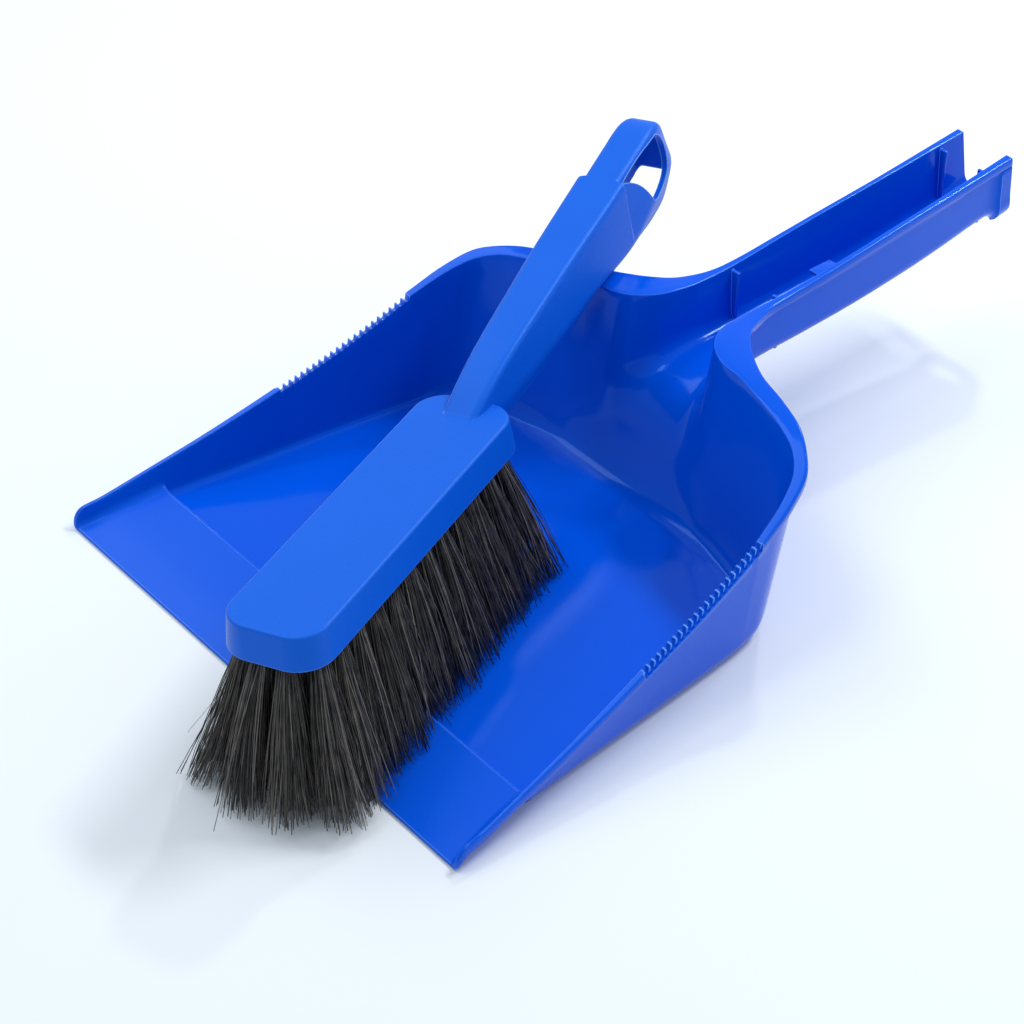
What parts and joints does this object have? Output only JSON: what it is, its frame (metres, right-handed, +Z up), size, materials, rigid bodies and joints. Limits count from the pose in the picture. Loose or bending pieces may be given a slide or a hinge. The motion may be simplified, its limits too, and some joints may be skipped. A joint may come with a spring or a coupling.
{
  "type": "dustpan and brush",
  "caption": "Blue moulded dustpan with a toothed rim and an open trough handle, holding a soft hand brush with dark fibre tufts.",
  "frame": {"origin": "middle of the dustpan's flat base, on the surface it rests on", "axes": "+Z up, +Y from the lip towards the end of the trough handle, +X to the right seen from the lip"},
  "size_m": [0.2224, 0.3951, 0.1029],
  "materials": {
    "pan_plastic": "semi-gloss moulded polypropylene, royal blue",
    "brush_plastic": "satin moulded polypropylene with a fine grain, royal blue",
    "bristle": "dark charcoal synthetic fibres with a dull sheen"
  },
  "bodies": {
    "pan": {"dustpan_body": "pan_plastic"},
    "brush": {"brush_stock": "brush_plastic", "bristle_tuft_row1_01": "bristle", "bristle_tuft_row1_02": "bristle", "bristle_tuft_row1_03": "bristle", "bristle_tuft_row1_04": "bristle", "bristle_tuft_row1_05": "bristle", "bristle_tuft_row1_06": "bristle", "bristle_tuft_row1_07": "bristle", "bristle_tuft_row1_08": "bristle", "bristle_tuft_row1_09": "bristle", "bristle_tuft_row1_10": "bristle", "bristle_tuft_row1_11": "bristle", "bristle_tuft_row1_12": "bristle", "bristle_tuft_row2_01": "bristle", "bristle_tuft_row2_02": "bristle", "bristle_tuft_row2_03": "bristle", "bristle_tuft_row2_04": "bristle", "bristle_tuft_row2_05": "bristle", "bristle_tuft_row2_06": "bristle", "bristle_tuft_row2_07": "bristle", "bristle_tuft_row2_08": "bristle", "bristle_tuft_row2_09": "bristle", "bristle_tuft_row2_10": "bristle", "bristle_tuft_row2_11": "bristle", "bristle_tuft_row2_12": "bristle", "bristle_tuft_row2_13": "bristle", "bristle_tuft_row3_01": "bristle", "bristle_tuft_row3_02": "bristle", "bristle_tuft_row3_03": "bristle", "bristle_tuft_row3_04": "bristle", "bristle_tuft_row3_05": "bristle", "bristle_tuft_row3_06": "bristle", "bristle_tuft_row3_07": "bristle", "bristle_tuft_row3_08": "bristle", "bristle_tuft_row3_09": "bristle", "bristle_tuft_row3_10": "bristle", "bristle_tuft_row3_11": "bristle", "bristle_tuft_row3_12": "bristle", "bristle_tuft_row3_13": "bristle", "bristle_tuft_row4_01": "bristle", "bristle_tuft_row4_02": "bristle", "bristle_tuft_row4_03": "bristle", "bristle_tuft_row4_04": "bristle", "bristle_tuft_row4_05": "bristle", "bristle_tuft_row4_06": "bristle", "bristle_tuft_row4_07": "bristle", "bristle_tuft_row4_08": "bristle", "bristle_tuft_row4_09": "bristle", "bristle_tuft_row4_10": "bristle", "bristle_tuft_row4_11": "bristle", "bristle_tuft_row4_12": "bristle"}
  },
  "joints": [
    {"name": "brush_lift", "type": "slide", "parent": "pan", "child": "brush", "axis": [0, 0, 1], "range_m": [0, 0.15]}
  ]
}
